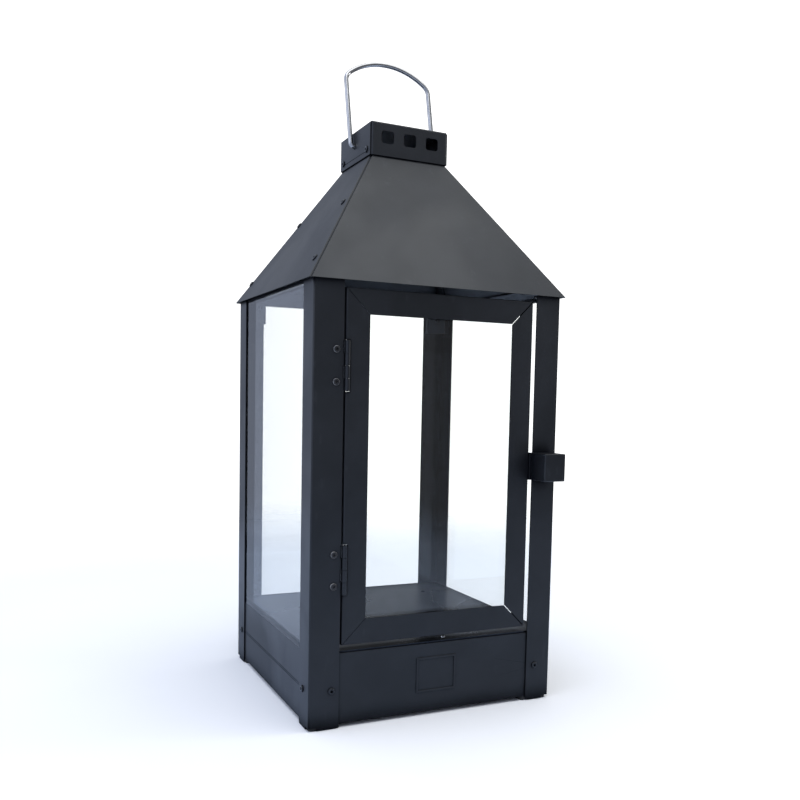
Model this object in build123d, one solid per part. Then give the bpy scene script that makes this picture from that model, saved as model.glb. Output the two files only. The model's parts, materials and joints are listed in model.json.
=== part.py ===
from build123d import *

import os
from math import atan2, cos, degrees, radians, sin, sqrt

# Candle lantern: a glazed box of folded sheet steel on four corner posts, with a hinged glass door,
# a pyramid roof, a vented chimney and a bent-wire carrying handle.
# Millimetres. +Z is up, the door faces -Y and opens on its left side, and the origin is on the ground
# under the middle of the body.

# ---------------------------------------------------------------- driving dimensions

body_width = 190.0          # over the outer faces of the posts, the same both ways
sheet = 1.0                 # thickness of every folded steel sheet
seam = 0.05                 # air left between two sheets that lie against each other
fold_radius = 1.2           # outside radius of a fold
overall_height = 425.0      # ground to the top of the chimney

post_leg = 20.0             # width of a post's flanges
hinge_leg = 21.5            # width of the flange that carries the hinges
hinge_leg_return = 7.0      # depth of the fold along that flange's edge, beside the door
hinge_return_air = 0.3      # above the floor and below the gusset
post_bottom = 0.4           # the posts end just above the ground
post_foot_notch = 6.0       # relief cut at the foot of the fold, along each flange
post_foot_notch_height = 2.0
post_foot_radius = 2.5

base_bottom = 3.0           # underside of the base panels
base_top = 51.6             # top face of the base panels' flanges
base_flange = 12.0
base_hem = 8.0
base_rivet_height = 26.5
base_rivet_in = 13.0        # from the outer corner of a post
hinge_base_rivet_in = 16.0
floor_thickness = 1.2
floor_rivet_x = 9.0
floor_rivet_in = 6.5        # from the front edge of the floor
pad_width = 22.0

emblem_width = 31.0
emblem_height = 25.0
emblem_centre_height = 29.5
emblem_ridge = 1.5
emblem_relief = 0.6

glass = 3.0                 # thickness of every pane
glass_play = 0.2            # air at the edges of a pane
pane_below_rail = 0.4

eave_height = 300.0
eave_overhang = 3.4         # past the outer faces of the posts
roof_lap = 14.0             # width of the flanges tucked under the side panels
roof_tuck = 2.0             # height of the roof panels' top edges inside the chimney
roof_tuck_gap = 0.3         # between those edges and the chimney's plates
hip_groove = 1.3            # the side panels stop short of the front and back faces by this
roof_rivet_rises = (0.15, 0.6)    # of the way from the eaves to the top of the roof
roof_rivet_front_in = 11.0  # from the front hips, along the ground
roof_rivet_back_in = 4.2

rail_below_gusset = 1.0
rail_end_gap = 4.0          # from the roof panels to the ends of the rails
rail_lap = 4.0              # how far in the leg that lies along the roof reaches

gusset_below_bend = 2.5     # from the bends of the side rails to the tops of the gussets
gusset_leg = 20.0
gusset_tab_width = 12.0
gusset_tab_drop = 11.0
clip_width = 17.3
clip_height = 15.0
clip_below_gusset = 1.5
clip_rivet_below_gusset = 4.7

chimney_width = 63.2
chimney_height = 24.0
chimney_flange = 8.0
chimney_groove = 1.3        # the side plates stop short of the front and back faces by this
vent_width = 10.0
vent_height = 9.0
vent_radius = 2.0
vent_pitch = 18.0
vents = 3
vent_centre_above_middle = 1.5
neck_height = 10.0
neck_end_in = 4.1           # from the chimney's corners
neck_air = 0.5              # between the necks and the sheets cut back around them
chimney_rivet_in = 7.6      # from the chimney's corners
chimney_rivet_above_bottom = 5.0

door_hinge_gap = 1.3
door_latch_gap = 3.2
door_bottom_gap = 5.4       # above the base
door_top_gap = 4.4          # below the eaves
door_member = 17.0          # face width of the stiles and rails
return_behind_glass = 4.0   # depth of the door's returns past its pane
mitre_gap_hinge_side = 0.3
mitre_gap_latch_side = 0.8
pane_hinge_gap = 0.6        # between the door's pane and the hinges' barrels
corner_plate_width = 9.0
corner_plate_length = 28.0
glass_clip_sheet = 0.8
glass_clip_reach = 8.0
glass_clip_length = 10.0

hinge_spread = 136.0        # between the middles of the two hinges
knuckles = 4
knuckle_pitch = 8.25
knuckle_gap = 0.2
pin_radius = 0.95
pin_clearance = 0.05
hinge_axis_in = 2.5         # from the edge of the hinge flange to the pin
post_leaf_width = 14.0
door_leaf_width = 12.5
door_leaf_past = 2.5        # how far the turning leaves run past their knuckles
knuckle_slot_air = 0.7      # beside the turning knuckles, into the post's flange
hinge_slot_air = 0.4        # around the hinges in the post and the door
hinge_rivet_in = 5.1        # from the edge of the hinge flange
hinge_rivet_spacing = 21.4
pin_head_radius = 1.9
pin_head_height = 0.3
pin_end_air = 0.15          # between the pins' ends and the turning leaves

knob_width = 17.5
knob_height = 20.0
knob_depth = 18.5
knob_side_air = 0.2         # between the bracket's leg and the knob
knob_stop_gap = 0.3         # between the bracket and the post when the door is shut
knob_edge_radius = 0.8
magnet_radius = 4.5
magnet_thickness = 4.0
bracket_back_in = 0.5       # from the back edge of the stile
knob_rivet_spacing = 12.0
knob_rivet_in = 2.0         # from the back edge of the stile

rivet_radius = 1.5
rivet_head_radius = 2.4
rivet_head_height = 1.1
rivet_tail_radius = 2.2
rivet_tail_length = 2.2
mandrel_hole_radius = 1.0
small_rivet_radius = 1.0
rivet_hole_clearance = 0.05

wire_radius = 1.75
wire_clearance = 0.1
handle_rivet_air = 0.35     # between the chimney's rivet heads and the handle's legs
handle_foot_air = 0.2       # between the chimney's sides and the bends of the wire
handle_rise = 72.5          # pivot to the crown of the wire
handle_crown_radius = 49.0
handle_shoulder_radius = 9.0
handle_tail = 5.0           # length of wire inside the chimney
handle_pivot_below_top = 11.5
handle_rest_tilt = 13.0     # degrees towards the back

# ---------------------------------------------------------------- derived places

half = body_width / 2
inner = half - sheet                            # inner faces of the posts
panel_inner = inner - sheet                     # inner faces of the base panels
pane_inner = inner - glass                      # inner faces of the side and back panes
floor_top = base_top + floor_thickness

chimney_half = chimney_width / 2
chimney_bottom = overall_height - chimney_height
eave_half = half + eave_overhang
roof_mouth_half = chimney_half - sheet - roof_tuck_gap      # the roof's outline at the chimney's foot
roof_top = chimney_bottom + roof_tuck
roof_pitch = (chimney_bottom - eave_height) / (eave_half - roof_mouth_half)
roof_angle = atan2(roof_pitch, 1.0)
lapped = 2 * sheet + 2 * seam                   # depth of a side rail below the roof's surface
post_top = max(eave_height, eave_height + roof_pitch * (eave_overhang - lapped / sin(roof_angle)))
neck_half_length = chimney_half - neck_end_in
neck_bottom = chimney_bottom - sheet
neck_top = chimney_bottom + neck_height

side_rail_bend = eave_height + roof_pitch * (eave_half - inner + sheet - (lapped + sheet) / sin(roof_angle))
gusset_top = side_rail_bend - gusset_below_bend
rail_bottom = gusset_top - rail_below_gusset
pane_top = rail_bottom - pane_below_rail
clip_top = gusset_top - clip_below_gusset
clip_bottom = clip_top - clip_height
clip_rivet_height = gusset_top - clip_rivet_below_gusset

door_left = -half + hinge_leg + door_hinge_gap
door_right = half - post_leg - door_latch_gap
door_bottom = base_top + door_bottom_gap
door_top = eave_height - door_top_gap
door_middle = (door_bottom + door_top) / 2
corner_plate_back = -half + 2 * sheet
door_glass_back = corner_plate_back + glass
door_back = door_glass_back + return_behind_glass

hinge_x = -half + hinge_leg + hinge_axis_in
hinge_y = -half
hinge_length = knuckles * knuckle_pitch
barrel_radius = pin_radius + pin_clearance + sheet
hinge_heights = {"upper": door_middle + hinge_spread / 2, "lower": door_middle - hinge_spread / 2}

bracket_back = -half - knob_stop_gap
knob_back = bracket_back - sheet
knob_left = door_right + sheet + knob_side_air

chimney_rivet_y = chimney_half - chimney_rivet_in
handle_half_width = chimney_half + rivet_head_height + handle_rivet_air + wire_radius
handle_foot_radius = handle_half_width - chimney_half - handle_foot_air
handle_pivot_height = overall_height - handle_pivot_below_top
corner_signs = {"front_left": (-1, -1), "front_right": (1, -1), "back_left": (-1, 1), "back_right": (1, 1)}


# ---------------------------------------------------------------- helpers

def block(x0, x1, y0, y1, z0, z1):
    """A box between two corners."""
    return Pos((x0 + x1) / 2, (y0 + y1) / 2, (z0 + z1) / 2) * Box(x1 - x0, y1 - y0, z1 - z0)


def along(start, direction):
    """A plane whose Z axis leaves start in the given direction."""
    return Plane(origin=start, z_dir=direction)


def rod(start, direction, radius, length):
    """A round bar that leaves start in the given direction."""
    bar = Cylinder(radius, length, align=(Align.CENTER, Align.CENTER, Align.MIN))
    return along(start, direction) * bar


def hole(start, direction, radius, depth):
    """A cutter for a round hole through a sheet that starts at start and is depth thick."""
    margin = 0.5
    unit = Vector(*direction).normalized()
    first = Vector(*start) - unit * margin
    return rod((first.X, first.Y, first.Z), direction, radius, depth + 2 * margin)


def to_corner(shape, signs):
    """Mirror a shape drawn at the back right corner to another corner."""
    if signs[0] < 0:
        shape = mirror(shape, about=Plane.YZ)
    if signs[1] < 0:
        shape = mirror(shape, about=Plane.XZ)
    return shape


def blind_rivet(start, outward, grip, radius=rivet_radius):
    """A blind rivet whose head sits on start, facing outward, with its tail behind grip of sheet."""
    scale = radius / rivet_radius
    head_height = rivet_head_height * scale
    head = Cylinder(rivet_head_radius * scale, head_height, align=(Align.CENTER, Align.CENTER, Align.MIN))
    head = fillet(head.edges().sort_by(Axis.Z)[-1], head_height * 0.75)
    mandrel_hole = Pos(0, 0, head_height) * Cylinder(mandrel_hole_radius * scale, 2 * head_height)
    shank = Cylinder(radius, grip, align=(Align.CENTER, Align.CENTER, Align.MAX))
    tail_end = Cylinder(
        rivet_tail_radius * scale, rivet_tail_length * scale, align=(Align.CENTER, Align.CENTER, Align.MAX)
    )
    tail_end = fillet(tail_end.edges().sort_by(Axis.Z)[0], rivet_tail_radius * scale * 0.5)
    tail = Pos(0, 0, -grip) * tail_end
    return along(start, outward) * (head + shank + tail - mandrel_hole)


def rivet_hole(start, outward, grip, radius=rivet_radius):
    """The hole that blind_rivet passes through."""
    inward = (-outward[0], -outward[1], -outward[2])
    return hole(start, inward, radius + rivet_hole_clearance, grip)


# ---------------------------------------------------------------- corner posts

def post(signs, front_leg):
    """A folded angle, drawn at the back right corner and mirrored to its own."""
    outline = Polyline(
        (half, half), (half, half - post_leg), (inner, half - post_leg), (inner, inner),
        (half - front_leg, inner), (half - front_leg, half), close=True,
    )
    section = make_face(outline)
    section = fillet(section.vertices().sort_by(lambda v: v.X + v.Y)[-1], fold_radius)
    angle = extrude(Pos(0, 0, post_bottom) * section, post_top - post_bottom)
    relief = block(
        half - post_foot_notch, half, half - post_foot_notch, half,
        post_bottom, post_bottom + post_foot_notch_height,
    )
    angle = angle - relief
    low = angle.edges().filter_by(lambda e: abs(e.center().Z - post_bottom) < 0.01)
    side_end = low.filter_by(Axis.X).sort_by(Axis.Y)[0]
    front_end = low.filter_by(Axis.Y).sort_by(Axis.X)[0]
    angle = fillet([side_end, front_end], post_foot_radius)
    return to_corner(angle, signs)


def base_rivet_places():
    """Each base rivet's place and outward direction: one through every flange of every post."""
    places = []
    for name, (sx, sy) in corner_signs.items():
        front_in = hinge_base_rivet_in if name == "front_left" else base_rivet_in
        places.append(((sx * (half - front_in), sy * half, base_rivet_height), (0, sy, 0)))
        places.append(((sx * half, sy * (half - base_rivet_in), base_rivet_height), (sx, 0, 0)))
    return places


def hinge_rivet_places():
    """The rivets that hold the hinges' fixed leaves, two for each hinge."""
    x = -half + hinge_leg - hinge_rivet_in
    places = []
    for height in hinge_heights.values():
        for side in (-1, 1):
            places.append(((x, -half, height + side * hinge_rivet_spacing / 2), (0, -1, 0)))
    return places


def knuckle_span(height, row):
    """Lowest and highest Z of one knuckle, counted from the top of its hinge."""
    top = height + hinge_length / 2 - row * knuckle_pitch
    return top - knuckle_pitch + knuckle_gap / 2, top - knuckle_gap / 2


def is_door_knuckle(row):
    """The first and third knuckles from the top turn with the door."""
    return row % 2 == 0


def posts():
    """The four corner posts, drilled for their rivets and notched for the turning knuckles."""
    drills = [rivet_hole(start, out, 2 * sheet) for start, out in base_rivet_places()]
    made = {}
    for name, signs in corner_signs.items():
        made["post_" + name] = post(signs, hinge_leg if name == "front_left" else post_leg) - drills
    edge = -half + hinge_leg
    hinge_post = made["post_front_left"] + block(
        edge - sheet, edge, -half, -half + hinge_leg_return,
        floor_top + hinge_return_air, gusset_top - sheet - hinge_return_air,
    )
    for start, out in hinge_rivet_places():
        hinge_post = hinge_post - rivet_hole(start, out, 2 * sheet)
    for height in hinge_heights.values():
        reach = hinge_length / 2 + pin_head_height + hinge_slot_air
        hinge_post = hinge_post - block(
            edge - 2 * sheet, edge + 1, -inner, -half + hinge_leg_return + 1, height - reach, height + reach
        )
        for row in range(knuckles):
            if is_door_knuckle(row):
                low, high = knuckle_span(height, row)
                slot = block(
                    edge - knuckle_slot_air, edge + 1, -half - 1, -inner + 1,
                    low - hinge_slot_air, high + hinge_slot_air,
                )
                hinge_post = hinge_post - slot
    made["post_front_left"] = hinge_post
    return made


# ---------------------------------------------------------------- base

def base_panel(width, flange_width):
    """A base panel drawn on the back side: a web with a top flange and a bottom hem turned inwards."""
    web = block(-width, width, panel_inner, inner, base_bottom, base_top)
    flange = block(
        -flange_width, flange_width, inner - base_flange, inner, base_top - sheet, base_top
    )
    hem = block(
        -flange_width, flange_width, inner - base_hem, inner, base_bottom, base_bottom + sheet
    )
    return web + flange + hem


def base_panels():
    """Front and back panels run the full width, and the side panels fit between them."""
    full = inner - 2 * seam
    between = panel_inner - 2 * seam
    back = base_panel(full, between)
    right = Rot(0, 0, -90) * base_panel(between, inner - base_flange - seam)
    panels = {
        "base_panel_back": back,
        "base_panel_front": mirror(back, about=Plane.XZ) + emblem(),
        "base_panel_right": right,
        "base_panel_left": mirror(right, about=Plane.YZ),
    }
    drills = [rivet_hole(start, out, 2 * sheet) for start, out in base_rivet_places()]
    panels = {name: panel - drills for name, panel in panels.items()}
    drill = rivet_hole(floor_rivet_place(), (0, 0, 1), floor_thickness + sheet, small_rivet_radius)
    panels["base_panel_front"] = panels["base_panel_front"] - drill
    return panels


def emblem():
    """A plain raised square outline in the middle of the front panel."""
    ring = Rectangle(emblem_width, emblem_height)
    ring = ring - Rectangle(emblem_width - 2 * emblem_ridge, emblem_height - 2 * emblem_ridge)
    face = Plane(origin=(0, -inner, emblem_centre_height), x_dir=(1, 0, 0), z_dir=(0, -1, 0))
    return extrude(face * ring, emblem_relief)


def floor_rivet_place():
    """The one rivet that ties the floor to the front panel's flange."""
    return (floor_rivet_x, -panel_inner + floor_rivet_in, floor_top)


def floor_plate():
    """The floor lies on the base panels' flanges, inside the panes."""
    side = pane_inner - glass_play
    plate = block(-side, side, -panel_inner + seam, side, base_top, floor_top)
    return plate - rivet_hole(floor_rivet_place(), (0, 0, 1), floor_thickness + sheet, small_rivet_radius)


def foot_pads():
    """Four square pads under the corners, which the lantern stands on."""
    edge_air = 0.2
    outer = inner - edge_air
    pads = []
    for signs in corner_signs.values():
        pad = block(outer - pad_width, outer, outer - pad_width, outer, 0, base_bottom)
        pad = fillet(pad.edges().filter_by(Axis.Z), post_foot_radius)
        pads.append(to_corner(pad, signs))
    return pads


# ---------------------------------------------------------------- glass and its clips

def panes():
    """The side panes run the full depth, and the back pane fits between them."""
    depth = inner - glass_play
    width = pane_inner - glass_play
    left = block(-inner, -pane_inner, -depth, depth, base_top, pane_top)
    return {
        "glass_pane_left": left,
        "glass_pane_right": mirror(left, about=Plane.YZ),
        "glass_pane_back": block(-width, width, pane_inner, inner, base_top, pane_top),
    }


def across_corner(width, near, far, z0, z1):
    """An upright plate square to the back right diagonal, between two distances |x| + |y|."""
    thickness = (far - near) / sqrt(2)
    centre = (near + far) / 4
    plate = Box(thickness, width, z1 - z0)
    return Pos(centre, centre, (z0 + z1) / 2) * Rot(0, 0, 45) * plate


def gusset_reach():
    """Distance |x| + |y| of the diagonal edge of a gusset."""
    return 2 * panel_inner - gusset_leg


def clip_rivet_place(near):
    """Place and outward direction of a clip's rivet, whose head faces the middle of the lantern."""
    return (near / 2, near / 2, clip_rivet_height), (-1, -1, 0)


def gusset(signs):
    """A corner web between the rails. The back ones have a tab turned down across the corner."""
    corner = panel_inner
    outline = Polyline(
        (corner, corner), (corner - gusset_leg, corner), (corner, corner - gusset_leg), close=True
    )
    web = extrude(Pos(0, 0, gusset_top - sheet) * make_face(outline), sheet)
    if signs[1] > 0:
        far = gusset_reach()
        near = far - sheet * sqrt(2)
        start, out = clip_rivet_place(near)
        tab = across_corner(gusset_tab_width, near, far, gusset_top - gusset_tab_drop, gusset_top)
        web = web + tab - rivet_hole(start, out, sheet)
    return to_corner(web, signs)


def glass_clip(signs):
    """A plate across the corner, riveted to the gusset's tab, whose wings bear on the panes."""
    far = gusset_reach() - sheet * sqrt(2)
    near = far - sheet * sqrt(2)
    plate = across_corner(clip_width, near, far, clip_bottom, clip_top)
    middle = (near + far) / 4
    end = clip_width / 2 / sqrt(2)
    wing = block(
        middle + end - sheet, pane_inner, middle - end - sheet / 2, middle - end + sheet / 2,
        clip_bottom, clip_top,
    )
    other_wing = mirror(wing, about=Plane(origin=(0, 0, 0), z_dir=(1, -1, 0)))
    start, out = clip_rivet_place(near)
    return to_corner(plate + wing + other_wing - rivet_hole(start, out, sheet), signs)


def clip_corners():
    """The back corners, where clips hold the panes."""
    return {name: signs for name, signs in corner_signs.items() if signs[1] > 0}


def clip_rivets():
    """One rivet through each clip and its gusset."""
    near = gusset_reach() - 2 * sheet * sqrt(2)
    start, out = clip_rivet_place(near)
    rivet = blind_rivet(start, out, 2 * sheet)
    return [to_corner(rivet, signs) for signs in clip_corners().values()]


# ---------------------------------------------------------------- roof

def roof_half(height, depth):
    """Half width of the pyramid at a height, depth below its sloping faces."""
    return eave_half - (height - eave_height) / roof_pitch - depth / sin(roof_angle)


def pyramid(side_depth, front_depth, z0=eave_height, z1=roof_top):
    """The roof's solid shape, with its side faces and its front and back faces moved inwards."""
    low = Pos(0, 0, z0) * Rectangle(2 * roof_half(z0, side_depth), 2 * roof_half(z0, front_depth))
    high = Pos(0, 0, z1) * Rectangle(2 * roof_half(z1, side_depth), 2 * roof_half(z1, front_depth))
    return loft([low.face(), high.face()], ruled=True)


def cutting_pyramid(side_depth, front_depth):
    """A pyramid that runs past both ends of the roof."""
    return pyramid(side_depth, front_depth, eave_height - 2, roof_top + 2)


def roof_rivet_places():
    """Each roof rivet's place and outward direction, on the side panels beside the hips."""
    places = []
    for sx in (-1, 1):
        outward = (sx * sin(roof_angle), 0, cos(roof_angle))
        for rise in roof_rivet_rises:
            height = eave_height + rise * (chimney_bottom - eave_height)
            x = sx * roof_half(height, 0)
            hip = roof_half(height, 0)
            places.append(((x, -hip + roof_rivet_front_in, height), outward))
            places.append(((x, hip - roof_rivet_back_in, height), outward))
    return places


def roof_panels():
    """Front and back panels with flanges tucked under the side panels, which carry the chimney's neck."""
    past = -3 * sheet
    drills = [rivet_hole(start, out, 2 * sheet + seam) for start, out in roof_rivet_places()]
    sides = pyramid(0, hip_groove) - cutting_pyramid(sheet, past)
    folded = pyramid(sheet + seam, 0) - cutting_pyramid(2 * sheet + seam, sheet)
    folded = folded - cutting_pyramid(past, roof_lap * sin(roof_angle))
    left = sides.solids().sort_by(Axis.X)[0] + chimney_neck()
    back = folded.solids().sort_by(Axis.Y)[-1] - neck_room(neck_bottom - neck_air, neck_top)
    made = {
        "roof_panel_left": left,
        "roof_panel_right": mirror(left, about=Plane.YZ),
        "roof_panel_back": back,
        "roof_panel_front": mirror(back, about=Plane.XZ),
    }
    made = {name: panel - drills for name, panel in made.items()}
    for start, out in chimney_rivet_places():
        drill = rivet_hole(start, out, 2 * sheet + seam)
        side = "roof_panel_left" if out[0] < 0 else "roof_panel_right"
        made[side] = made[side] - drill
    return made


def chimney_neck():
    """The upright flange at the top of the left roof panel, inside the chimney's side plate."""
    outer = chimney_half - sheet - seam
    return block(-outer, -outer + sheet, -neck_half_length, neck_half_length, neck_bottom, neck_top)


def neck_room(z0, z1):
    """Room around both necks, between two heights."""
    end = neck_half_length + neck_air
    return block(-chimney_half, chimney_half, -end, end, z0, z1)


def rail(depth, half_length):
    """A top rail on the left: an upright leg inside the posts and a leg along the underside of the roof."""
    fold = eave_height + roof_pitch * (eave_half - inner - depth / sin(roof_angle))
    bend = fold + roof_pitch * (sheet - sheet / sin(roof_angle))
    top = fold + rail_lap * roof_pitch
    end = -inner + rail_lap
    points = [
        (-inner, rail_bottom), (-inner, fold), (end, top),
        (end + sheet * sin(roof_angle), top - sheet * cos(roof_angle)), (-inner + sheet, bend),
        (-inner + sheet, rail_bottom),
    ]
    section = make_face(Polyline([(x, 0, z) for x, z in points], close=True))
    return Pos(0, half_length, 0) * extrude(section, 2 * half_length, dir=(0, -1, 0))


def rails():
    """The side rails pass under the roof's tucked flanges, and the back rail lies against the back panel."""
    reach = eave_half - inner + rail_lap - lapped / sin(roof_angle)
    half_length = roof_half(eave_height + roof_pitch * reach, lapped) - rail_end_gap
    left = rail(lapped, half_length)
    back = Rot(0, 0, -90) * rail(sheet + 2 * seam, half_length)
    return {"top_rail_left": left, "top_rail_right": mirror(left, about=Plane.YZ), "top_rail_back": back}


# ---------------------------------------------------------------- chimney

def chimney_rivet_places():
    """The rivets that hold the chimney's side plates to the necks of the side roof panels."""
    height = chimney_bottom + chimney_rivet_above_bottom
    return [
        ((sx * chimney_half, sy * chimney_rivet_y, height), (sx, 0, 0)) for sx in (-1, 1) for sy in (-1, 1)
    ]


def chimney_hood():
    """Front, top and back in one folded sheet, with flanges inside the side plates, and the vents."""
    side = chimney_half - sheet - seam
    z0 = chimney_bottom
    z1 = overall_height
    hood = block(-side, side, -chimney_half, chimney_half, z0, z1)
    folds = hood.edges().filter_by(Axis.X).group_by(Axis.Z)[-1] + hood.edges().filter_by(Axis.Z)
    hood = fillet(folds, fold_radius)
    hood = hood - block(
        -side + sheet, side - sheet, -chimney_half + sheet, chimney_half - sheet, z0 - 1, z1 - sheet
    )
    window = chimney_half - sheet - chimney_flange
    hood = hood - block(-side - 1, side + 1, -window, window, z0 - 1, z1 - sheet - chimney_flange)
    hood = hood - neck_room(z0 - 1, neck_top + neck_air)
    tuck = chimney_half - sheet
    hood = hood - block(-side - 1, side + 1, -tuck, tuck, z0 - 1, roof_top + neck_air)
    vent = RectangleRounded(vent_width, vent_height, vent_radius)
    middle = (z0 + z1) / 2 + vent_centre_above_middle
    for number in range(vents):
        x = (number - (vents - 1) / 2) * vent_pitch
        plane = Plane(origin=(x, 0, middle), x_dir=(1, 0, 0), z_dir=(0, -1, 0))
        hood = hood - extrude(plane * vent, chimney_half + 1, both=True)
    return hood


def chimney_side():
    """The left side plate, with the handle's bearing hole and the two rivet holes."""
    edge = chimney_half - chimney_groove
    plate = block(
        -chimney_half, -chimney_half + sheet, -edge, edge, chimney_bottom, overall_height - chimney_groove / 2
    )
    plate = plate - hole(
        (-chimney_half, 0, handle_pivot_height), (1, 0, 0), wire_radius + wire_clearance, sheet
    )
    return plate - [rivet_hole(start, out, sheet) for start, out in chimney_rivet_places() if out[0] < 0]


# ---------------------------------------------------------------- hinges

def knuckle(low, high):
    """One hollow knuckle of a barrel."""
    ring = rod((hinge_x, hinge_y, low), (0, 0, 1), barrel_radius, high - low)
    return ring - hole((hinge_x, hinge_y, low), (0, 0, 1), pin_radius + pin_clearance, high - low)


def leaf(height, turns):
    """A hinge leaf behind the faces of the post (fixed) or of the stile (turning).

    The turning leaf has an ear past each end of the pin, behind the gap in the stile.
    """
    low = height - hinge_length / 2 + knuckle_gap / 2
    high = height + hinge_length / 2 - knuckle_gap / 2
    barrel_air = barrel_radius + hinge_slot_air
    y0 = hinge_y + sheet
    y1 = hinge_y + 2 * sheet
    if turns:
        first, last = low - door_leaf_past, high + door_leaf_past
        ear = hinge_length / 2 + pin_head_height + pin_end_air
        inside = door_left + sheet + seam
        side = hinge_x + barrel_air
        plate = block(side, side + door_leaf_width, y0, y1, first, last)
        plate = plate + block(inside, side, y0, y1, height + ear, last)
        plate = plate + block(inside, side, y0, y1, first, height - ear)
    else:
        edge = -half + hinge_leg
        plate = block(edge - post_leaf_width, hinge_x - barrel_air, y0, y1, low, high)
    for row in range(knuckles):
        if is_door_knuckle(row) == turns:
            first, last = knuckle_span(height, row)
            ends = (hinge_x, hinge_x + barrel_air) if turns else (hinge_x - barrel_air, hinge_x)
            plate = plate + knuckle(first, last) + block(ends[0], ends[1], y0, y1, first, last)
    if turns:
        return plate
    return plate - [rivet_hole(start, out, 2 * sheet) for start, out in hinge_rivet_places()]


def hinge_pin(height):
    """A pin with a rounded head and a flat one at its lower end."""
    low = height - hinge_length / 2
    high = height + hinge_length / 2
    pin = rod((hinge_x, hinge_y, low), (0, 0, 1), pin_radius, hinge_length)
    head = rod((hinge_x, hinge_y, high), (0, 0, 1), pin_head_radius, pin_head_height)
    head = fillet(head.edges().filter_by(GeomType.CIRCLE).sort_by(Axis.Z)[-1], pin_head_height * 0.6)
    foot = rod((hinge_x, hinge_y, low), (0, 0, -1), pin_head_radius, pin_head_height)
    return pin + head + foot


def hinges():
    """Two hinges, each with a fixed leaf, a turning leaf and a pin."""
    made = {}
    for name, height in hinge_heights.items():
        made["hinge_" + name + "_post_leaf"] = leaf(height, turns=False)
        made["hinge_" + name + "_door_leaf"] = leaf(height, turns=True)
        made["hinge_" + name + "_pin"] = hinge_pin(height)
    return made


# ---------------------------------------------------------------- door

def door_face(points, front, back):
    """A shape drawn on the door's face, in X and Z, between two values of Y."""
    face = make_face(Polyline([(x, front, z) for x, z in points], close=True))
    return extrude(face, back - front, dir=(0, 1, 0))


def mitred(start, end, inward, width, gaps):
    """Outline of one mitred member: start and end are its outer corners, inward points to the glass."""
    sx = 1 if end[0] > start[0] else 0
    sz = 1 - sx
    first, last = gaps[0] * sqrt(2), gaps[1] * sqrt(2)
    inner_first, inner_last = first + width, last + width
    rise, run = inward[1] * width, inward[0] * width
    return [
        (start[0] + sx * first, start[1] + sz * first),
        (end[0] - sx * last, end[1] - sz * last),
        (end[0] - sx * inner_last + run, end[1] - sz * inner_last + rise),
        (start[0] + sx * inner_first + run, start[1] + sz * inner_first + rise),
    ]


def door_member_shape(start, end, inward, gaps):
    """A folded member: a mitred web with a return along its outer edge."""
    web = door_face(mitred(start, end, inward, door_member, gaps), -half, -half + sheet)
    lip = door_face(mitred(start, end, inward, sheet, gaps), -half, door_back)
    member = web + lip
    front_edges = member.edges().filter_by(lambda e: abs(e.center().Y + half) < 0.01)
    outer = max(front_edges, key=lambda e: -(e.center().X * inward[0] + e.center().Z * inward[1]))
    return fillet(outer, fold_radius * 0.8)


def hinge_cut():
    """Room in the hinge stile for both barrels and for the leaves behind it."""
    air = hinge_slot_air
    reach = hinge_length / 2 + pin_head_height + air
    side = hinge_x + barrel_radius + air
    back = hinge_y + barrel_radius + air
    return [
        block(door_left - 1, side, -half - 1, back, height - reach, height + reach)
        for height in hinge_heights.values()
    ]


def door_frame():
    """Two stiles and two rails, mitred at the corners."""
    x0, x1, z0, z1 = door_left, door_right, door_bottom, door_top
    hinge_side, latch_side = mitre_gap_hinge_side / 2, mitre_gap_latch_side / 2
    even_left = (hinge_side, hinge_side)
    even_right = (latch_side, latch_side)
    mixed = (hinge_side, latch_side)
    frame = {
        "door_stile_left": door_member_shape((x0, z0), (x0, z1), (1, 0), even_left) - hinge_cut(),
        "door_stile_right": door_member_shape((x1, z0), (x1, z1), (-1, 0), even_right),
        "door_rail_top": door_member_shape((x0, z1), (x1, z1), (0, -1), mixed),
        "door_rail_bottom": door_member_shape((x0, z0), (x1, z0), (0, 1), mixed),
    }
    for start, out in knob_rivet_places():
        drill = rivet_hole(start, out, 2 * sheet, small_rivet_radius)
        frame["door_stile_right"] = frame["door_stile_right"] - drill
    return frame


def door_corner_plates():
    """L-shaped plates behind the mitres, which hold the stiles and rails together."""
    plates = {}
    for side, x, sx in (("left", door_left, 1), ("right", door_right, -1)):
        for level, z, sz in (("top", door_top, -1), ("bottom", door_bottom, 1)):
            a = x + sx * (sheet + seam)
            b = z + sz * (sheet + seam)
            long_side, wide = corner_plate_length, corner_plate_width
            outline = [
                (a, b), (a + sx * long_side, b), (a + sx * long_side, b + sz * wide),
                (a + sx * wide, b + sz * wide), (a + sx * wide, b + sz * long_side), (a, b + sz * long_side),
            ]
            plates["door_corner_plate_" + level + "_" + side] = door_face(
                outline, -half + sheet, corner_plate_back
            )
    return plates


def door_glass():
    """The door's pane, behind the corner plates and inside the returns."""
    edge = sheet + glass_play
    return block(
        hinge_x + barrel_radius + pane_hinge_gap, door_right - edge, corner_plate_back, door_glass_back,
        door_bottom + edge, door_top - edge,
    )


def door_glass_clip(x, z, inward):
    """A small angle on the inside of a return that holds the glass from behind."""
    back = door_back - 0.5
    front = door_glass_back + seam
    ix, iz = inward
    reach, wall, length = glass_clip_reach, glass_clip_sheet, glass_clip_length / 2
    x += ix * sheet
    z += iz * sheet

    def angle_part(depth, y0, y1):
        xs = sorted((x + ix * depth, x)) if ix else [x - length, x + length]
        zs = sorted((z + iz * depth, z)) if iz else [z - length, z + length]
        return block(xs[0], xs[1], y0, y1, zs[0], zs[1])

    return angle_part(wall, front, back) + angle_part(reach, front, front + wall)


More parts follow.
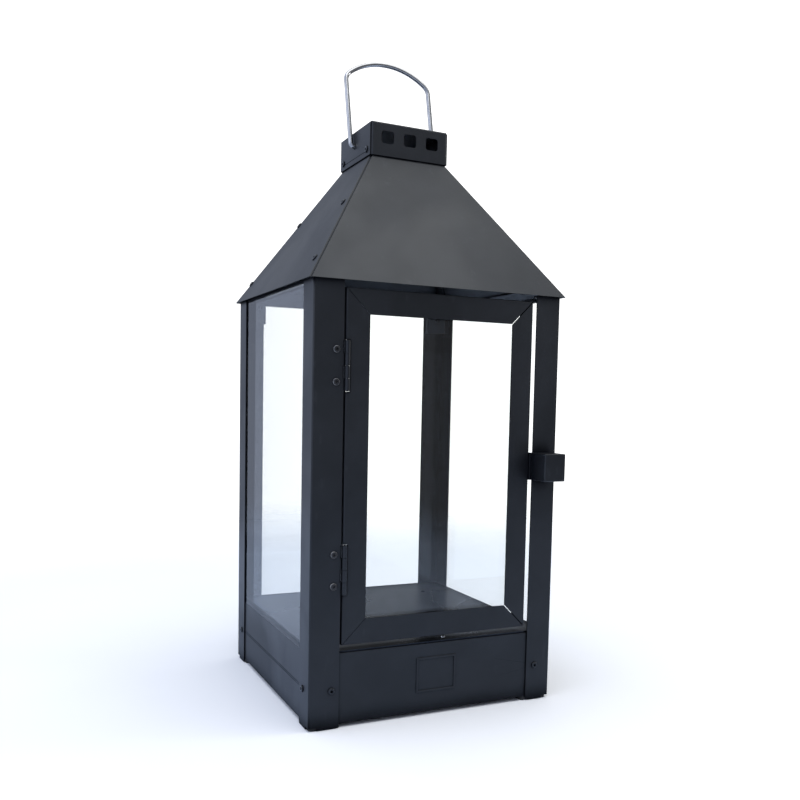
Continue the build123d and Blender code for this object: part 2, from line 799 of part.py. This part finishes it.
def door_glass_clips():
    """Two clips on each stile and one in the middle of each rail."""
    places = [(0, door_top, (0, -1)), (0, door_bottom, (0, 1))]
    for level in (-1, 1):
        height = door_middle + level * hinge_spread / 4
        places.append((door_left, height, (1, 0)))
        places.append((door_right, height, (-1, 0)))
    return [door_glass_clip(x, z, inward) for x, z, inward in places]


# ---------------------------------------------------------------- knob

def knob_rivet_places():
    """The two rivets that hold the knob's bracket to the latch stile, behind the glass."""
    y = door_back - knob_rivet_in
    x = door_right + sheet
    return [((x, y, door_middle + side * knob_rivet_spacing / 2), (1, 0, 0)) for side in (-1, 1)]


def magnet_centre_x():
    """The magnet sits in the middle of the knob."""
    return knob_left + knob_width / 2


def knob_bracket():
    """An angle on the edge of the door, whose front leg stops against the post."""
    z0 = door_middle - knob_height / 2
    z1 = door_middle + knob_height / 2
    side_leg = block(door_right, door_right + sheet, knob_back, door_back - bracket_back_in, z0, z1)
    front_leg = block(door_right, knob_left + knob_width - 0.5, knob_back, bracket_back, z0, z1)
    bracket = side_leg + front_leg
    bracket = bracket - hole(
        (magnet_centre_x(), knob_back, door_middle), (0, 1, 0), magnet_radius + seam, sheet
    )
    return bracket - [
        rivet_hole(start, out, sheet, small_rivet_radius) for start, out in knob_rivet_places()
    ]


def knob_block():
    """A square block on the front of the bracket, with a pocket for the magnet."""
    z0 = door_middle - knob_height / 2
    z1 = door_middle + knob_height / 2
    knob = block(knob_left, knob_left + knob_width, knob_back - knob_depth, knob_back, z0, z1)
    front = knob.edges().filter_by(lambda e: e.center().Y < knob_back - 0.01)
    knob = fillet(front, knob_edge_radius)
    pocket = rod(
        (magnet_centre_x(), knob_back + 0.5, door_middle), (0, -1, 0), magnet_radius + seam,
        magnet_thickness - sheet + 0.5,
    )
    return knob - pocket


def knob_magnet():
    """A disc magnet through the bracket, flush with its back, that holds the door to the steel post."""
    return rod(
        (magnet_centre_x(), bracket_back, door_middle), (0, -1, 0), magnet_radius, magnet_thickness
    )


# ---------------------------------------------------------------- handle

def handle_wire():
    """The bail: two short tails through the chimney's sides, upright legs and a flat crown."""
    a = handle_half_width
    foot = handle_foot_radius
    crown_centre = handle_rise - handle_crown_radius
    shoulder = handle_shoulder_radius
    reach = handle_crown_radius - shoulder
    cx = a - shoulder
    cz = crown_centre + sqrt(reach ** 2 - cx ** 2)
    lean = handle_crown_radius / reach
    meet = (cx * lean, crown_centre + (cz - crown_centre) * lean)
    turn = atan2(cz - crown_centre, cx) / 2
    bulge = (cx + shoulder * cos(turn), cz + shoulder * sin(turn))
    tail_x = chimney_half - sheet - handle_tail
    foot_mid = (a - foot * (1 - cos(radians(45))), foot * (1 - sin(radians(45))))
    half_path = [
        Line((tail_x, 0, 0), (a - foot, 0, 0)),
        ThreePointArc((a - foot, 0, 0), (foot_mid[0], 0, foot_mid[1]), (a, 0, foot)),
        Line((a, 0, foot), (a, 0, cz)),
        ThreePointArc((a, 0, cz), (bulge[0], 0, bulge[1]), (meet[0], 0, meet[1])),
    ]
    crown = ThreePointArc((meet[0], 0, meet[1]), (0, 0, handle_rise), (-meet[0], 0, meet[1]))
    path = Curve() + half_path + crown + mirror(Curve() + half_path, about=Plane.YZ)
    path = Wire(path.edges())
    section = Plane(origin=(tail_x, 0, 0), z_dir=(1, 0, 0)) * Circle(wire_radius)
    wire = sweep(section, path=path, transition=Transition.RIGHT)
    return Pos(0, 0, handle_pivot_height) * Rot(-handle_rest_tilt, 0, 0) * wire


# ---------------------------------------------------------------- the lantern

def lantern():
    """Every node of the lantern: a solid, or a list of solids for a group of equal pieces."""
    side_left = chimney_side()
    nodes = {}
    nodes.update(posts())
    nodes.update(base_panels())
    nodes["floor_plate"] = floor_plate()
    nodes["floor_rivet"] = blind_rivet(
        floor_rivet_place(), (0, 0, 1), floor_thickness + sheet, small_rivet_radius
    )
    nodes["foot_pads"] = foot_pads()
    nodes["base_rivets"] = [blind_rivet(start, out, 2 * sheet) for start, out in base_rivet_places()]
    nodes.update(panes())
    for name, signs in corner_signs.items():
        nodes["corner_gusset_" + name] = gusset(signs)
    for name, signs in clip_corners().items():
        nodes["glass_clip_" + name] = glass_clip(signs)
    nodes["clip_rivets"] = clip_rivets()
    nodes.update(roof_panels())
    nodes["roof_rivets"] = [
        blind_rivet(start, out, 2 * sheet + seam) for start, out in roof_rivet_places()
    ]
    nodes.update(rails())
    nodes["chimney_hood"] = chimney_hood()
    nodes["chimney_side_left"] = side_left
    nodes["chimney_side_right"] = mirror(side_left, about=Plane.YZ)
    nodes["chimney_rivets"] = [
        blind_rivet(start, out, 2 * sheet + seam) for start, out in chimney_rivet_places()
    ]
    nodes.update(hinges())
    nodes["hinge_rivets"] = [blind_rivet(start, out, 2 * sheet) for start, out in hinge_rivet_places()]
    nodes.update(door_frame())
    nodes.update(door_corner_plates())
    nodes["door_glass"] = door_glass()
    nodes["door_glass_clips"] = door_glass_clips()
    nodes["knob_block"] = knob_block()
    nodes["knob_bracket"] = knob_bracket()
    nodes["knob_magnet"] = knob_magnet()
    nodes["knob_rivets"] = [
        blind_rivet(start, out, 2 * sheet, small_rivet_radius) for start, out in knob_rivet_places()
    ]
    nodes["handle_wire"] = handle_wire()
    return nodes


def main():
    """Write one STEP file for each node."""
    os.makedirs("parts", exist_ok=True)
    for name, shape in lantern().items():
        if isinstance(shape, list):
            shape = Compound(children=shape)
        export_step(shape, "parts/" + name + ".step")


main()
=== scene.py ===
"""Looks, light and camera for the candle lantern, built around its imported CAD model. Metres."""

import json
from math import cos, pi, radians, sin

import bmesh
import bpy
from mathutils import Matrix, Vector


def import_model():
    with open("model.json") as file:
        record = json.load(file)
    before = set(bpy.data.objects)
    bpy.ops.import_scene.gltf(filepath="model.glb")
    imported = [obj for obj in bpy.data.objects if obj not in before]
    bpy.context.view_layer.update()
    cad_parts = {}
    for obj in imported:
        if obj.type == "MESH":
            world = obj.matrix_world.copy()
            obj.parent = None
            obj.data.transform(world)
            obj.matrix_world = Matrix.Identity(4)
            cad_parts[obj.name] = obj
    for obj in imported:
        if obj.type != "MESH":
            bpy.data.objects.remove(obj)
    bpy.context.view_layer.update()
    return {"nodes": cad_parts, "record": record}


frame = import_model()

# ---------------------------------------------------------------- values

# Camera, fitted to the photo.
CAMERA_PLACE = (-0.2784, -0.6411, 0.2227)
CAMERA_YAW = radians(25.775)        # clockwise from +Y, seen from above
CAMERA_PITCH = radians(4.242)       # downwards
CAMERA_ROLL = radians(1.252)
CAMERA_LENS = 39.62                 # millimetres, like the sensor
CAMERA_SENSOR = 36.0
CAMERA_SHIFT = (-0.0279, 0.0821)
CAMERA_NEAR = 0.01

# World. The camera sees the background, and everything else is lit by the studio.
BACKGROUND = (1.50, 1.50, 1.50)
STUDIO_ROOM = (0.225, 0.235, 0.262)        # what the faces towards the camera mirror
STUDIO_WINDOW = (0.62, 0.71, 0.93)         # bright side of the room, on the lantern's left
STUDIO_TOP = (0.44, 0.47, 0.50)
STUDIO_TOP_WINDOW = (1.00, 1.12, 1.42)
WINDOW_EDGE = (-0.45, 0.15)                # X of a direction where the window is whole and where it ends
TOP_EDGE = (0.15, 0.62)                    # Z of a direction where the top starts and is whole

# Floor.
FLOOR_RADIUS = 2.2
FLOOR_SIDES = 96
FLOOR_FADE = (0.45, 1.3)            # where the floor starts and ends to fade into the background
FLOOR_PALE = (0.90, 0.90, 0.905)
FLOOR_PALER = (0.92, 0.92, 0.92)
FLOOR_MIRRORED = (0.54, 0.62, 0.76)   # the floor's colour in the paint's gloss
FLOOR_ROUGHNESS = 0.7
FLOOR_SPECULAR = 0.2

# Powder coat.
COAT_DARK = (0.0032, 0.0036, 0.0048)
COAT_LIGHT = (0.0058, 0.0064, 0.0084)
COAT_RUBBED = tuple(channel * 1.8 + 0.004 for channel in COAT_LIGHT)
COAT_SPECULAR = 0.5
# gloss left in the narrowest gaps, a painted shade
GAP_SHADE_SPECULAR = 0.03
GAP_REACH = 0.018                   # painted shade: the paint's gloss is cut in gaps narrower than about this
GAP_OPENNESS = (0.5, 0.98)          # openness at which the gloss starts and is whole
# blue casts on the paint's gloss, a painted colour of the reflected room; stronger on the floor plate
REFLECTED_ROOM_TINT = (0.91, 0.955, 1.0, 1.0)
FLOOR_PLATE_REFLECTED_TINT = (0.66, 0.78, 1.0, 1.0)
SHEET_WAVINESS = 0.0006
PLATE_WAVINESS = 0.00015
SMALL_WAVINESS = 0.0001             # small stiff pieces are flatter than sheets
WAVE_STRENGTH = 0.35
PEEL_BUMP = (0.35, 0.00005)         # a bump's strength, and its depth in metres, here and below
SPECKLE_BUMP = (0.2, 0.000025)

# Each powder-coated slot's range of roughness, its waviness and the tint of its gloss, a painted blue
# cast on its reflections.
COATS = {
    "satin_black_sheet": ((0.36, 0.50), SHEET_WAVINESS, REFLECTED_ROOM_TINT),
    "door_sheet": ((0.38, 0.50), SHEET_WAVINESS, REFLECTED_ROOM_TINT),
    "roof_sheet": ((0.42, 0.54), SHEET_WAVINESS, REFLECTED_ROOM_TINT),
    "inner_sheet": ((0.32, 0.44), SHEET_WAVINESS, REFLECTED_ROOM_TINT),
    "floor_sheet": ((0.24, 0.38), PLATE_WAVINESS, FLOOR_PLATE_REFLECTED_TINT),
    "knob_black": ((0.34, 0.44), SMALL_WAVINESS, REFLECTED_ROOM_TINT),
    "hinge_black": ((0.26, 0.36), SMALL_WAVINESS, REFLECTED_ROOM_TINT),
    "black_rivet": ((0.24, 0.34), SMALL_WAVINESS, REFLECTED_ROOM_TINT),
}

# Glass.
GLASS_IOR = 1.5
GLASS_GREEN = (0.985, 0.995, 0.99)
GLASS_CLEAR = (0.992, 0.998, 0.995)
GLASS_ROUGHNESS = (0.01, 0.06)
GLASS_BUMP = (0.05, 0.0004)

# Metals and rubber: two colours each, from dark to light.
BARE_STEEL = ((0.60, 0.60, 0.61), (0.78, 0.78, 0.79))
BARE_STEEL_ROUGHNESS = (0.20, 0.32)
NICKEL = ((0.60, 0.58, 0.54), (0.72, 0.70, 0.66))
NICKEL_ROUGHNESS = (0.12, 0.22)
WIRE = ((0.30, 0.30, 0.305), (0.40, 0.40, 0.405))
WIRE_ROUGHNESS = (0.08, 0.18)
STREAK_BUMP = (0.25, 0.00003)
WIRE_BUMP = (0.1, 0.00003)
RIVET_PAINT = (0.012, 0.012, 0.014)
# bare metal of the rivets' rims, partly wear and partly a painted highlight
RIVET_BARE_AND_HIGHLIGHT = (0.42, 0.42, 0.43)
RIVET_ROUGHNESS = (0.25, 0.42)
RIVET_REACH = 0.003                 # how far round a rivet's head its openness is measured
RIVET_BUMP = (0.25, 0.00004)
RUBBER_BLACK = (0.012, 0.012, 0.012)
RUBBER_DUST = (0.03, 0.03, 0.029)
RUBBER_ROUGHNESS = (0.7, 0.9)
RUBBER_BUMP = (0.4, 0.00008)

# Edges of the sheets.
SOFTENED = ("post_", "door_stile", "door_rail", "chimney_side", "knob_bracket", "base_panel")
EDGE_ROUND = 0.00022
EDGE_SEGMENTS = 2
EDGE_ANGLE = radians(40)
WELD_DISTANCE = 0.000002

# Sockets and samples of Blender's nodes.
MIX_COLOUR_INPUTS = (6, 7)
MIX_COLOUR_RESULT = 2
OPENNESS_SAMPLES = 8


# ---------------------------------------------------------------- node helpers

def new_material(name):
    """A node material with its Principled shader."""
    material = bpy.data.materials.new(name)
    material.use_nodes = True
    tree = material.node_tree
    return material, tree, tree.nodes["Principled BSDF"]


def add(tree, kind, **inputs):
    """A node whose named inputs are set to values, or linked where an output socket is given."""
    node = tree.nodes.new(kind)
    for name, value in inputs.items():
        socket = node.inputs[name.replace("_", " ")]
        if isinstance(value, bpy.types.NodeSocket):
            tree.links.new(value, socket)
        else:
            socket.default_value = value
    return node


def place(tree, stretch=(1, 1, 1)):
    """Object coordinates in metres, scaled along each axis."""
    coordinates = tree.nodes.new("ShaderNodeTexCoord")
    mapping = add(tree, "ShaderNodeMapping", Vector=coordinates.outputs["Object"], Scale=stretch)
    return mapping.outputs["Vector"]


def noise(tree, scale, detail=3.0, stretch=(1, 1, 1), distortion=0.0):
    """A noise value about 0.5, with scale cells to a metre."""
    node = add(
        tree, "ShaderNodeTexNoise", Vector=place(tree, stretch), Scale=scale, Detail=detail,
        Distortion=distortion,
    )
    return node.outputs["Fac"]


def spread(tree, value, low=0.0, high=1.0, start=0.35, end=0.65):
    """value between start and end mapped to low and high."""
    node = tree.nodes.new("ShaderNodeMapRange")
    node.interpolation_type = "SMOOTHSTEP"
    tree.links.new(value, node.inputs["Value"])
    for name, number in (("From Min", start), ("From Max", end), ("To Min", low), ("To Max", high)):
        node.inputs[name].default_value = number
    return node.outputs["Result"]


def multiply(tree, first, second):
    """The product of two values."""
    node = tree.nodes.new("ShaderNodeMath")
    node.operation = "MULTIPLY"
    tree.links.new(first, node.inputs[0])
    tree.links.new(second, node.inputs[1])
    return node.outputs["Value"]


def blend(tree, factor, first, second):
    """A colour mix of two colours or colour sockets."""
    node = tree.nodes.new("ShaderNodeMix")
    node.data_type = "RGBA"
    tree.links.new(factor, node.inputs["Factor"])
    for number, colour in zip(MIX_COLOUR_INPUTS, (first, second)):
        if isinstance(colour, bpy.types.NodeSocket):
            tree.links.new(colour, node.inputs[number])
        else:
            node.inputs[number].default_value = (*colour, 1.0)
    return node.outputs[MIX_COLOUR_RESULT]


def openness(tree, reach):
    """How open a surface is to its surroundings, from 0 in a deep gap to 1."""
    node = add(tree, "ShaderNodeAmbientOcclusion", Distance=reach)
    node.samples = OPENNESS_SAMPLES
    return node.outputs["AO"]


def bumps(tree, *layers):
    """Bump nodes in a row: each layer is a height socket, a strength and a distance in metres."""
    normal = None
    for height, strength, distance in layers:
        node = add(tree, "ShaderNodeBump", Height=height, Strength=strength, Distance=distance)
        if normal is not None:
            tree.links.new(normal, node.inputs["Normal"])
        normal = node.outputs["Normal"]
    return normal


# ---------------------------------------------------------------- materials

def powder_coat(name, roughness, waviness, tint):
    """Satin black powder coat: orange peel, slow patches of gloss and sheet that isn't quite flat, with
    painted shade in narrow gaps, where its gloss is cut.
    """
    material, tree, shader = new_material(name)
    patches = noise(tree, scale=9.0, detail=4.0, distortion=0.6)
    tone = noise(tree, scale=38.0, detail=5.0)
    peel = noise(tree, scale=1500.0, detail=2.0)
    speckle = noise(tree, scale=4200.0, detail=1.0)
    wave = noise(tree, scale=11.0, detail=1.0)
    colour = blend(tree, spread(tree, tone), COAT_DARK, COAT_LIGHT)
    scuffs = noise(tree, scale=160.0, detail=6.0, stretch=(1, 1, 0.35))
    marks = spread(tree, scuffs, high=0.5, start=0.62, end=0.74)
    tree.links.new(blend(tree, marks, colour, COAT_RUBBED), shader.inputs["Base Color"])
    tree.links.new(spread(tree, patches, *roughness), shader.inputs["Roughness"])
    # painted shade: the gloss falls off where nearby parts close the surface in
    gloss = spread(tree, openness(tree, GAP_REACH), GAP_SHADE_SPECULAR, COAT_SPECULAR, *GAP_OPENNESS)
    tree.links.new(gloss, shader.inputs["Specular IOR Level"])
    # painted reflection colour: the gloss is tinted blue
    shader.inputs["Specular Tint"].default_value = tint
    normal = bumps(
        tree, (wave, WAVE_STRENGTH, waviness), (peel, *PEEL_BUMP), (speckle, *SPECKLE_BUMP)
    )
    tree.links.new(normal, shader.inputs["Normal"])
    return material


def clear_glass(name):
    """Clean float glass: see-through, with gloss that grows towards grazing angles and faint smears."""
    material, tree, shader = new_material(name)
    tree.nodes.remove(shader)
    smears = noise(tree, scale=22.0, detail=6.0, stretch=(1, 1, 0.5), distortion=1.2)
    tint = blend(tree, noise(tree, scale=6.0, detail=1.0), GLASS_GREEN, GLASS_CLEAR)
    geometry = tree.nodes.new("ShaderNodeNewGeometry")
    bend = tree.nodes.new("ShaderNodeMapRange")
    tree.links.new(geometry.outputs["Backfacing"], bend.inputs["Value"])
    bend.inputs["To Min"].default_value = GLASS_IOR
    bend.inputs["To Max"].default_value = 1 / GLASS_IOR
    mirror = add(tree, "ShaderNodeFresnel", IOR=bend.outputs["Result"])
    through = add(tree, "ShaderNodeBsdfTransparent", Color=tint)
    gloss = add(
        tree, "ShaderNodeBsdfGlossy",
        Roughness=spread(tree, smears, *GLASS_ROUGHNESS, start=0.5, end=0.75),
    )
    normal = bumps(tree, (noise(tree, scale=7.0, detail=0.0), *GLASS_BUMP))
    tree.links.new(normal, gloss.inputs["Normal"])
    pane = tree.nodes.new("ShaderNodeMixShader")
    tree.links.new(mirror.outputs["Fac"], pane.inputs["Fac"])
    tree.links.new(through.outputs["BSDF"], pane.inputs[1])
    tree.links.new(gloss.outputs["BSDF"], pane.inputs[2])
    tree.links.new(pane.outputs["Shader"], tree.nodes["Material Output"].inputs["Surface"])
    return material


def drawn_steel(name, colours, roughness):
    """Bare metal with streaks along Z."""
    material, tree, shader = new_material(name)
    lines = noise(tree, scale=2600.0, stretch=(1, 1, 0.03))
    stain = noise(tree, scale=70.0, detail=5.0, distortion=0.8)
    tree.links.new(blend(tree, spread(tree, stain), *colours), shader.inputs["Base Color"])
    tree.links.new(spread(tree, lines, *roughness), shader.inputs["Roughness"])
    shader.inputs["Metallic"].default_value = 1.0
    tree.links.new(bumps(tree, (lines, *STREAK_BUMP)), shader.inputs["Normal"])
    return material


def polished_wire(name):
    """Bright drawn wire, smooth, with a few dull patches."""
    material, tree, shader = new_material(name)
    stain = noise(tree, scale=45.0, detail=5.0, distortion=0.8)
    tree.links.new(blend(tree, spread(tree, stain), *WIRE), shader.inputs["Base Color"])
    dull = spread(tree, noise(tree, scale=120.0, detail=4.0), *WIRE_ROUGHNESS)
    tree.links.new(dull, shader.inputs["Roughness"])
    shader.inputs["Metallic"].default_value = 1.0
    normal = bumps(tree, (noise(tree, scale=60.0), *WIRE_BUMP))
    tree.links.new(normal, shader.inputs["Normal"])
    return material


def worn_rivet(name):
    """Black paint with bare metal on the rims of the heads, partly wear and partly a painted highlight:
    the rim is picked by which way the face turns in the world, and is kept out of the hollow of the
    head.
    """
    material, tree, shader = new_material(name)
    geometry = tree.nodes.new("ShaderNodeNewGeometry")
    axes = add(tree, "ShaderNodeSeparateXYZ", Vector=geometry.outputs["Normal"])
    slope = add(tree, "ShaderNodeMath", Value=axes.outputs["Y"])
    slope.operation = "ABSOLUTE"
    # painted highlight and wear: bare metal where the face turns away from the Y axis, so it moves when
    # the part turns
    rim_wear_and_highlight = spread(tree, slope.outputs["Value"], low=1.0, high=0.0, start=0.45, end=0.93)
    patchy = spread(tree, noise(tree, scale=900.0, detail=4.0), low=0.15, high=0.8)
    outside = spread(tree, openness(tree, RIVET_REACH), start=0.35, end=0.6)
    # the bare metal and its painted highlight are kept out of the hollow of the head, which stays black
    bare = multiply(tree, multiply(tree, rim_wear_and_highlight, patchy), outside)
    tree.links.new(blend(tree, bare, RIVET_PAINT, RIVET_BARE_AND_HIGHLIGHT), shader.inputs["Base Color"])
    tree.links.new(bare, shader.inputs["Metallic"])
    tree.links.new(spread(tree, noise(tree, scale=300.0), *RIVET_ROUGHNESS), shader.inputs["Roughness"])
    normal = bumps(tree, (noise(tree, scale=2200.0), *RIVET_BUMP))
    tree.links.new(normal, shader.inputs["Normal"])
    return material


def rubber(name):
    """Dull black rubber with a fine grain and some dust."""
    material, tree, shader = new_material(name)
    grain = noise(tree, scale=2500.0, detail=4.0)
    dust = spread(tree, noise(tree, scale=90.0, detail=5.0), high=0.6, start=0.5, end=0.8)
    tree.links.new(blend(tree, dust, RUBBER_BLACK, RUBBER_DUST), shader.inputs["Base Color"])
    tree.links.new(spread(tree, grain, *RUBBER_ROUGHNESS), shader.inputs["Roughness"])
    tree.links.new(bumps(tree, (grain, *RUBBER_BUMP)), shader.inputs["Normal"])
    return material


def slot_materials():
    """One finished material for each of the record's slots."""
    materials = {slot: powder_coat(slot, *look) for slot, look in COATS.items()}
    materials["worn_rivet"] = worn_rivet("worn_rivet")
    materials["black_rubber"] = rubber("black_rubber")
    materials["clear_glass"] = clear_glass("clear_glass")
    materials["bare_rivet"] = drawn_steel("bare_rivet", BARE_STEEL, BARE_STEEL_ROUGHNESS)
    materials["magnet_nickel"] = drawn_steel("magnet_nickel", NICKEL, NICKEL_ROUGHNESS)
    materials["polished_wire"] = polished_wire("polished_wire")
    return materials


def dress(nodes, record):
    """Give every CAD node its slot's material."""
    materials = slot_materials()
    slot_of = {entry["node"]: entry["material_slot"] for entry in record["subparts"]}
    for name, node in nodes.items():
        for slot in node.material_slots:
            slot.material = materials[slot_of[name]]


def weld(node):
    """Join a node's doubled vertices, so that shading and bevels run on across its faces."""
    modifier = node.modifiers.new("weld", "WELD")
    modifier.merge_threshold = WELD_DISTANCE


def smooth_wire(wire):
    """Even out the shading along the bends of the handle."""
    weld(wire)
    shading = wire.modifiers.new("shading", "WEIGHTED_NORMAL")
    shading.mode = "FACE_AREA"
    shading.keep_sharp = False


def soften(nodes):
    """Round the cut edges of the folded sheets a little, so that they catch the light."""
    for name, node in nodes.items():
        if name.startswith(SOFTENED):
            weld(node)
            bevel = node.modifiers.new("edges", "BEVEL")
            bevel.width = EDGE_ROUND
            bevel.segments = EDGE_SEGMENTS
            bevel.limit_method = "ANGLE"
            bevel.angle_limit = EDGE_ANGLE
            bevel.harden_normals = True


# ---------------------------------------------------------------- studio

def floor_material():
    """Pale floor that fades out away from the lantern, so that it has no horizon."""
    material, tree, shader = new_material("studio_floor")
    shade = spread(tree, noise(tree, scale=3.0))
    seen = tree.nodes.new("ShaderNodeLightPath")
    pale = blend(tree, shade, FLOOR_PALE, FLOOR_PALER)
    mirrored = blend(tree, seen.outputs["Is Glossy Ray"], pale, FLOOR_MIRRORED)
    tree.links.new(mirrored, shader.inputs["Base Color"])
    shader.inputs["Roughness"].default_value = FLOOR_ROUGHNESS
    shader.inputs["Specular IOR Level"].default_value = FLOOR_SPECULAR
    length = tree.nodes.new("ShaderNodeVectorMath")
    length.operation = "LENGTH"
    tree.links.new(place(tree), length.inputs[0])
    fade = spread(tree, length.outputs["Value"], 1.0, 0.0, *FLOOR_FADE)
    tree.links.new(fade, shader.inputs["Alpha"])
    return material


def floor():
    """A round floor under the lantern."""
    mesh = bpy.data.meshes.new("studio_floor")
    form = bmesh.new()
    angles = [2 * pi * side / FLOOR_SIDES for side in range(FLOOR_SIDES)]
    form.faces.new([
        form.verts.new((FLOOR_RADIUS * cos(angle), FLOOR_RADIUS * sin(angle), 0.0)) for angle in angles
    ])
    form.to_mesh(mesh)
    form.free()
    piece = bpy.data.objects.new("studio_floor", mesh)
    mesh.materials.append(floor_material())
    bpy.context.scene.collection.objects.link(piece)


def world():
    """A dim studio with a bright side and a brighter top, and a plain pale background."""
    studio = bpy.data.worlds.new("studio")
    studio.use_nodes = True
    tree = studio.node_tree
    tree.nodes.clear()
    direction = tree.nodes.new("ShaderNodeTexCoord")
    axes = add(tree, "ShaderNodeSeparateXYZ", Vector=direction.outputs["Generated"])
    left = spread(tree, axes.outputs["X"], 1.0, 0.0, *WINDOW_EDGE)
    above = spread(tree, axes.outputs["Z"], 0.0, 1.0, *TOP_EDGE)
    room = blend(tree, left, STUDIO_ROOM, STUDIO_WINDOW)
    room = blend(tree, above, room, blend(tree, left, STUDIO_TOP, STUDIO_TOP_WINDOW))
    seen = tree.nodes.new("ShaderNodeLightPath")
    colour = blend(tree, seen.outputs["Is Camera Ray"], room, BACKGROUND)
    light = add(tree, "ShaderNodeBackground", Color=colour, Strength=1.0)
    output = tree.nodes.new("ShaderNodeOutputWorld")
    tree.links.new(light.outputs["Background"], output.inputs["Surface"])
    bpy.context.scene.world = studio


def softbox(name, place_at, target, size, power, colour=(1, 1, 1)):
    """A square area light that faces a point, with its power in watts."""
    lamp = bpy.data.lights.new(name, "AREA")
    lamp.shape = "SQUARE"
    lamp.size = size
    lamp.energy = power
    lamp.color = colour
    light = bpy.data.objects.new(name, lamp)
    light.location = place_at
    aim = Vector(target) - Vector(place_at)
    light.rotation_euler = aim.to_track_quat("-Z", "Y").to_euler()
    light.visible_camera = False
    bpy.context.scene.collection.objects.link(light)


def lights():
    """A large overhead softbox, a weaker one on the left and a small one for the wire's gleam."""
    softbox("overhead", place_at=(0.2, -0.5, 2.3), target=(0, 0, 0.2), size=2.2, power=34.0)
    softbox(
        "left", place_at=(-2.0, 0.3, 1.0), target=(0, 0, 0.25), size=1.4, power=6.0,
        colour=(0.92, 0.95, 1.0),
    )
    softbox("right", place_at=(1.5, -0.45, 0.7), target=(0, 0, 0.45), size=0.5, power=5.0)


def camera():
    """The camera, from where it stands and how it is turned."""
    level = cos(CAMERA_PITCH)
    forward = Vector((sin(CAMERA_YAW) * level, cos(CAMERA_YAW) * level, -sin(CAMERA_PITCH)))
    right = forward.cross(Vector((0, 0, 1))).normalized()
    up = right.cross(forward)
    roll_cos, roll_sin = cos(CAMERA_ROLL), sin(CAMERA_ROLL)
    x_axis = roll_cos * right + roll_sin * up
    y_axis = -roll_sin * right + roll_cos * up
    turn = Matrix((x_axis, y_axis, -forward)).transposed().to_4x4()
    view = bpy.data.cameras.new("camera")
    view.lens = CAMERA_LENS
    view.sensor_width = CAMERA_SENSOR
    view.shift_x, view.shift_y = CAMERA_SHIFT
    view.clip_start = CAMERA_NEAR
    piece = bpy.data.objects.new("camera", view)
    piece.matrix_world = Matrix.Translation(CAMERA_PLACE) @ turn
    bpy.context.scene.collection.objects.link(piece)
    bpy.context.scene.camera = piece


camera()
world()
lights()
floor()
dress(frame["nodes"], frame["record"])
soften(frame["nodes"])
smooth_wire(frame["nodes"]["handle_wire"])
bpy.context.scene.view_settings.view_transform = "Standard"
